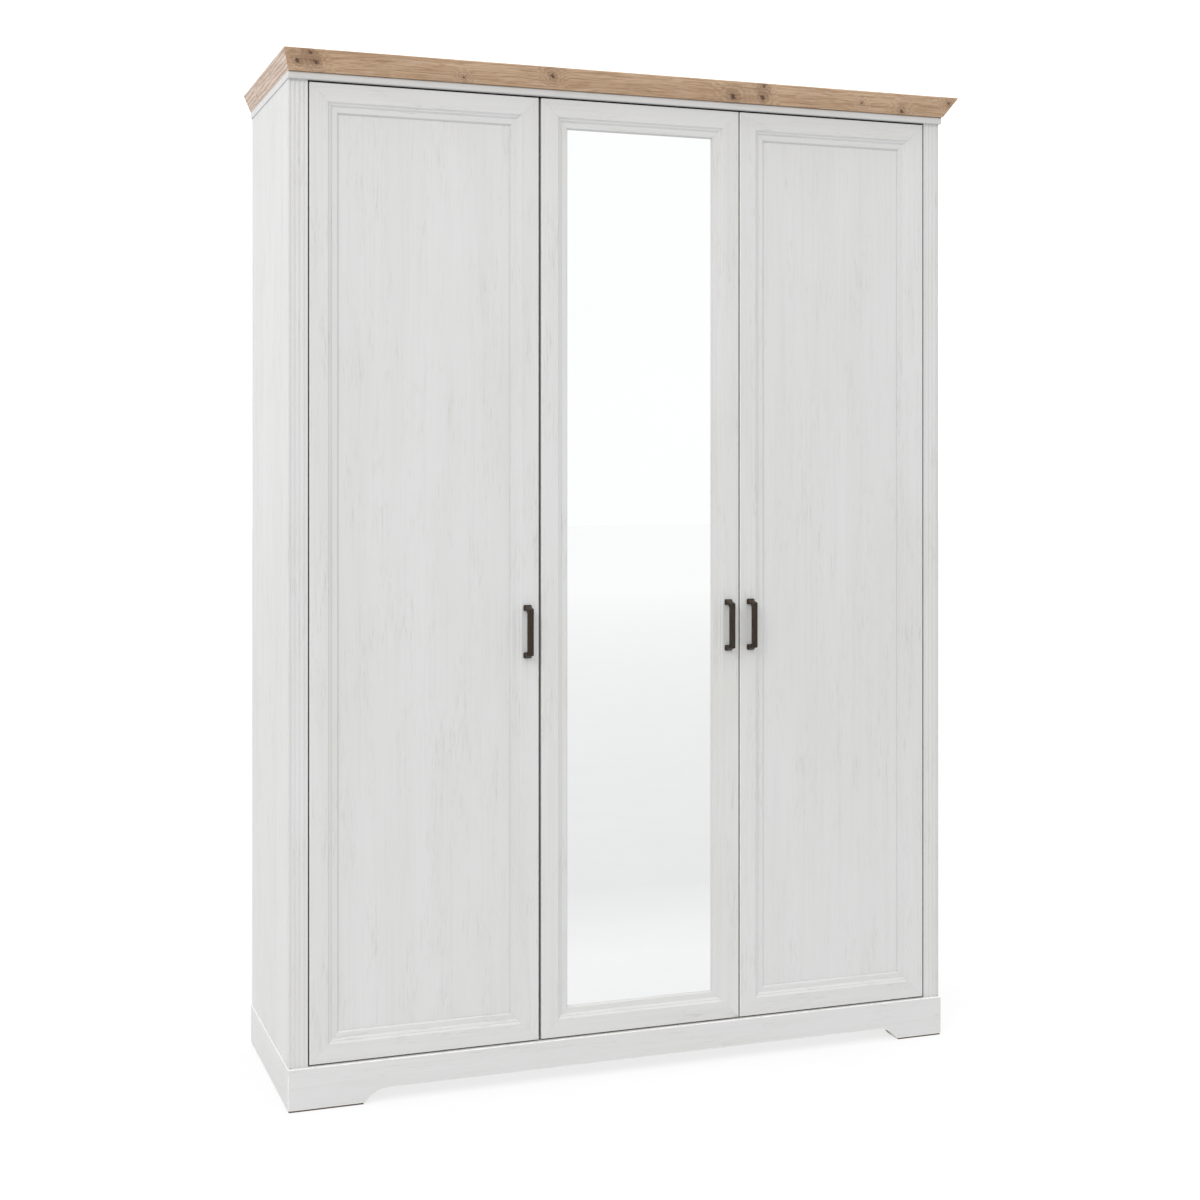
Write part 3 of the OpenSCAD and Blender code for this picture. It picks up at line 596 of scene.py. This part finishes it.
def fluted_post(node, seed):
    """Corner post with four shallow flutes and a rounded outer corner."""
    low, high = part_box(node)
    to = 1 if low.x < 0 else -1
    outer = low.x if to > 0 else high.x
    width, depth = high.x - low.x, high.y - low.y
    corner, pitch, half_w, flute_d = 3 * MM, 9.2 * MM, 3.9 * MM, 1.3 * MM
    outline = arc((corner, corner), corner, 180, 270, 6)
    for i in range(4):
        middle = width / 2 + (i - 1.5) * pitch
        for step in range(9):
            t = step / 4 - 1
            outline.append((middle + half_w * t, flute_d * (1 + math.cos(math.pi * t)) / 2))
    outline += [(width - 0.6 * MM, 0), (width, 0.6 * MM), (width, depth), (0, depth)]
    mesh = bar_mesh(node + "_shape", outline, lambda u, v: low.z, lambda u, v: high.z,
                    lambda u, v, w: (outer + to * u, low.y + v, w))
    piece = add_piece(node.replace("corner", "fluted"), mesh, pine("pine_" + node, "z", seed, 0.95), CARCASS,
                      (node,))
    return shade(soften(piece, 0.3 * MM, 1, 60), 50)


def plane_x(point, normal):
    """x on a plane for a given y and z."""
    return lambda y, z: point.x - (normal.y * (y - point.y) + normal.z * (z - point.z)) / normal.x


# Knots in the cornice boards: place along the board in metres, then height and radius in millimetres
FRONT_KNOTS = ((-0.682, 29, 4.2), (-0.704, 15, 5.8), (-0.668, 15, 6.2), (-0.371, 8, 3.4), (-0.190, 21, 5.6),
               (0.212, 9, 9.0), (0.272, 31, 5.0), (0.279, 11, 7.0), (0.511, 14, 3.4), (0.613, 5, 5.6),
               (0.716, 25, 4.6))
SIDE_KNOTS = ((-0.06, 20, 2.4), (0.13, 12, 3.0))


def cornice():
    """Three leaning boards, mitred at the front corners, with a small nose along the top edge."""
    front_low, front_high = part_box("cornice_front")
    base, top = front_low.z, front_high.z
    nose = 2 * MM
    run_front, run_side = 37 * MM, 14.5 * MM
    rise = top - base - nose
    thick = 18 * MM
    lean_front, lean_side = (thick * math.hypot(run, rise) / rise for run in (run_front, run_side))
    outer_y, outer_x = front_low.y, front_high.x
    corner = Vector((outer_x - run_side, outer_y + run_front, base))
    peak = Vector((outer_x, outer_y, top - nose))
    inner = corner + Vector((-lean_side, lean_front, 0))
    normal = (inner - corner).cross(peak - corner)
    mitre = plane_x(corner, normal)
    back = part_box("cornice_side_left")[1].y

    def outline(run, lean):
        """u outwards from the lower outer edge, v up."""
        crest = rise + nose
        return [(0.0, 0.8 * MM), (run - 0.4 * MM, rise - 0.4 * MM), (run, rise + 0.3 * MM),
                (run, crest - 0.6 * MM), (run - 0.6 * MM, crest), (run - lean, crest), (-lean, 0.0),
                (-0.8 * MM, 0.0)]

    knots_front = [(x, base + up * MM, radius * MM) for x, up, radius in FRONT_KNOTS]
    light, dark = rgb(223, 189, 154), rgb(203, 167, 132)
    front = bar_mesh("cornice_front_shape", outline(run_front, lean_front),
                     lambda u, v: -mitre(corner.y - u, base + v), lambda u, v: mitre(corner.y - u, base + v),
                     lambda u, v, w: (w, corner.y - u, base + v))
    piece = add_piece("cornice_front_board", front, oak("oak_front", "x", knots_front, light, dark, base),
                      CARCASS, ("cornice_front",))
    shade(soften(piece, 0.3 * MM, 1), 20)

    def mitre_y(x, z):
        """y on the right mitre for a given x and z."""
        return corner.y - (normal.x * (x - corner.x) + normal.z * (z - corner.z)) / normal.y

    knots_side = [(y, base + up * MM, radius * MM) for y, up, radius in SIDE_KNOTS]
    for side, name in ((-1, "left"), (1, "right")):
        board = bar_mesh(f"cornice_side_{name}_shape", outline(run_side, lean_side),
                         lambda u, v: max(mitre_y(corner.x + u, base + v), outer_y), lambda u, v: back,
                         lambda u, v, w: (side * (corner.x + u), w, base + v))
        # Paler, greyer oak than the front boards: painted light and sheen, the way the side facing the light
        # looks; the bolder, straighter grain is the boards' own.
        wood = oak(f"oak_{name}", "y", knots_side, rgb(234, 212, 198), rgb(214, 189, 172), base,
                   depth=1.7, waviness=0.3)
        piece = add_piece(f"cornice_side_board_{name}", board, wood, CARCASS, (f"cornice_side_{name}",))
        shade(soften(piece, 0.3 * MM, 1), 20)


def panel_nails():
    """Domed nails along the edges of the back sheets and the partition."""
    low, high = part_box("back_panel_left")[0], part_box("back_panel_right")[1]
    pitch, end_gap, nail_r, joint_half = 120 * MM, 40 * MM, 2.2 * MM, 30 * MM
    columns = (low.x + 6 * MM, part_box("partition_panel")[0].x + 8 * MM, high.x - 6 * MM)
    spots = [(x, z) for x in columns for z in spaced(low.z + end_gap, high.z - end_gap, pitch)]
    spots += [(x, z) for z in (low.z + 8 * MM, high.z - 8 * MM)
              for x in spaced(low.x + 1.5 * end_gap, high.x - 1.5 * end_gap, pitch) if abs(x) > joint_half]
    bm = bmesh.new()
    for x, z in spots:
        dome = bmesh.ops.create_uvsphere(bm, u_segments=12, v_segments=6, radius=nail_r)
        for vert in dome["verts"]:
            vert.co = Vector((x + vert.co.x, high.y + max(vert.co.y, -0.5 * MM) * 0.35, z + vert.co.z))
    mesh = bpy.data.meshes.new("panel_nails_shape")
    bm.to_mesh(mesh)
    bm.free()
    return shade(add_piece("panel_nails", mesh, NICKEL, CARCASS), 60)


def spaced(low, high, pitch):
    """Evenly spaced values from low to high, about a pitch apart."""
    count = max(1, round((high - low) / pitch))
    return [low + (high - low) * i / count for i in range(count + 1)]


def gap_shade_strip():
    """Dark felt angle above the doors, a leg down the stop rail's front and one under the top board: painted
    shade that darkens the gap over the doors.
    """
    low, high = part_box("top_stop_rail")
    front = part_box("corner_post_left")[0].y
    leg_h, leg_t, shelf_t, slack, end_gap = 9 * MM, 1.5 * MM, 0.8 * MM, 0.1 * MM, 17 * MM
    reach = low.y - front - 4 * MM
    rounding = 0.6 * MM
    outline = [(-slack, -slack), (-reach + rounding, -slack)]
    outline += [(-reach, -slack - rounding / 2), (-reach, -shelf_t + rounding / 2)]
    outline += [(-reach + rounding, -shelf_t), (-leg_t, -shelf_t), (-leg_t, -leg_h + rounding)]
    outline += [(-leg_t + rounding, -leg_h), (-slack, -leg_h)]
    mesh = bar_mesh("gap_shade_strip_shape", outline, lambda u, v: low.x + end_gap, lambda u, v: high.x - end_gap,
                    lambda u, v, w: (w, low.y + u, high.z + v))
    return shade(add_piece("gap_shade_strip", mesh, GAP_SHADE_FELT, CARCASS), 50)


fluted_post("corner_post_left", 21)
fluted_post("corner_post_right", 22)
cornice()
panel_nails()
# Painted shade in the gap above the doors
gap_shade_strip()
UPRIGHT = {"side_panel_left": (61, 0.9), "side_panel_right": (62, 0.9), "partition_panel": (63, 0.7),
           "hinge_strip_left": (64, 0.7), "hinge_strip_right": (65, 0.7)}
for node, (seed, contrast) in UPRIGHT.items():
    dress(node, pine("pine_" + node, "z", seed, contrast))
LEVEL = {"bottom_panel": 71, "top_board": 72, "top_stop_rail": 73, "plinth_front": 74, "plinth_rear_rail": 75,
         "shelf_1": 76, "shelf_2": 77, "shelf_3": 78, "hat_shelf": 79}
for node, seed in LEVEL.items():
    # The plinth front's wide rounded edges take the painted highlight.
    broad = node == "plinth_front"
    wood = pine("pine_" + node, "x", seed, 0.8)
    dress(node, wood, (2.0 if broad else 0.5) * MM, 3, EDGE_HIGHLIGHT if broad else None)
for side, seed in (("left", 81), ("right", 82)):
    # The plinth sides' rounded top edges take the painted highlight.
    dress(f"plinth_side_{side}", pine("pine_plinth_" + side, "y", seed, 0.8), 1.9 * MM, 3, EDGE_HIGHLIGHT)
    dress(f"back_panel_{side}", HARDBOARD, 0.3 * MM)
dress("back_joint_strip", WHITE_PLASTIC, 0.3 * MM)
dress("plinth_corner_blocks", RAW_BOARD)
dress("floor_glides", GLIDE_PLASTIC, 0.6 * MM)
dress("door_bumpers", BUMPER_RUBBER, 0.5 * MM)
dress("clothes_rail", CHROME, 0)
dress("rail_flanges", CHROME, 0.4 * MM)
for node in ("shelf_pins", "hinge_plates", "hinge_arms"):
    dress(node, NICKEL, 0.3 * MM)


# ---------------------------------------------------------------- stage, light and camera

MIRROR_VIEW = (0.358, -0.933, 0.0)      # where the mirror looks, seen from the camera
FRONT_LEVEL = 0.64                      # brightness of the studio ahead of the wardrobe, low down
FRONT_SKY_LEVEL = 1.75                  # the same, high up
ROUND_LEVEL = 1.32                      # beside and behind the wardrobe
WALL_LEVEL = 1.14                       # the white wall opposite the mirror
KEY_LEVEL = 6.3
CAMERA_PLACE = (-1.336, -3.712, 1.260)
CAMERA_TURN = -19.77                    # degrees about the vertical, from +Y


def floor():
    """Pale floor: partly self-lit, as a floor in a white studio is, so that it stays near white."""
    s = Shader("floor_paint")
    mottle = s.noise(s.space((6, 6, 6)), detail=3)
    ahead = s.math("MULTIPLY", s.axis(s.coords.outputs["Object"], "y"), -1.0)
    s.set(Base_Color=s.mix(s.level(mottle, 0.3, 0.7), rgb(141, 141, 141), rgb(138, 138, 139)), Roughness=0.9,
          Specular_IOR_Level=0.1, Emission_Color=(1, 1, 1, 1),
          Emission_Strength=s.math("MAXIMUM", s.level(ahead, 1.0, 1.7, 0.73, 0.60),
                                   s.level(ahead, 2.2, 13.0, 0.60, 0.79)))
    half, drop = 30, 0.2 * MM
    mesh = mesh_from("floor_shape", [(-half, -half, 0), (half, -half, 0), (half, half, 0), (-half, half, 0)],
                     [[0, 1, 2, 3]])
    obj = bpy.data.objects.new("floor", mesh)
    obj.location.z = -drop
    mesh.materials.append(s.material)
    bpy.context.scene.collection.objects.link(obj)


def white_world():
    """White studio, dimmer low down in front of the wardrobe except for a white wall opposite the mirror."""
    world = bpy.data.worlds.new("white_studio")
    world.use_nodes = True
    bpy.context.scene.world = world
    tree = world.node_tree

    def add(kind, **settings):
        node = tree.nodes.new("ShaderNode" + kind)
        for key, value in settings.items():
            setattr(node, key, value)
        return node

    def ramp(source, low, high, to_low, to_high):
        node = add("MapRange", interpolation_type="SMOOTHSTEP")
        for index, value in enumerate((low, high, to_low, to_high), 1):
            node.inputs[index].default_value = value
        tree.links.new(source, node.inputs[0])
        return node.outputs[0]

    def combine(operation, first, second):
        node = add("Math", operation=operation)
        tree.links.new(first, node.inputs[0])
        tree.links.new(second, node.inputs[1])
        return node.outputs[0]

    direction = add("TexCoord").outputs["Generated"]
    parts = add("SeparateXYZ")
    tree.links.new(direction, parts.inputs[0])
    facing = add("VectorMath", operation="DOT_PRODUCT")
    facing.inputs[1].default_value = MIRROR_VIEW
    tree.links.new(direction, facing.inputs[0])
    ahead = ramp(parts.outputs["Z"], 0.2, 0.75, FRONT_LEVEL, FRONT_SKY_LEVEL)
    behind = ramp(parts.outputs["Y"], -0.1, 0.3, 0.0, ROUND_LEVEL)
    front_share = ramp(parts.outputs["Y"], -0.1, 0.3, 1.0, 0.0)
    around = combine("ADD", combine("MULTIPLY", ahead, front_share), behind)
    wall = ramp(facing.outputs["Value"], 0.74, 0.93, 0.0, WALL_LEVEL)
    level = combine("MAXIMUM", around, wall)
    tree.links.new(level, tree.nodes["Background"].inputs["Strength"])
    tree.nodes["Background"].inputs["Color"].default_value = (1, 1, 1, 1)


def softbox(name, place, target, width, height, radiance):
    """Rectangular light; radiance is the brightness of its face."""
    light = bpy.data.lights.new(name, "AREA")
    light.shape, light.size, light.size_y = "RECTANGLE", width, height
    light.energy = radiance * math.pi * width * height
    obj = bpy.data.objects.new(name, light)
    obj.location = place
    obj.rotation_euler = (Vector(target) - Vector(place)).to_track_quat("-Z", "Y").to_euler()
    bpy.context.scene.collection.objects.link(obj)


def camera():
    """The photograph's viewpoint."""
    data = bpy.data.cameras.new("photo_camera")
    data.lens, data.sensor_width = 54.55, 36
    data.shift_x, data.shift_y = -0.001, -0.1158
    obj = bpy.data.objects.new("photo_camera", data)
    obj.location = CAMERA_PLACE
    obj.rotation_euler = (math.radians(90), 0, math.radians(CAMERA_TURN))
    bpy.context.scene.collection.objects.link(obj)
    bpy.context.scene.camera = obj


floor()
white_world()
softbox("key_left", (-4.4, -4.5, 4.8), (-0.1, 0, 1.0), 2.7, 2.7, KEY_LEVEL)
camera()
bpy.context.scene.view_settings.view_transform = "Standard"
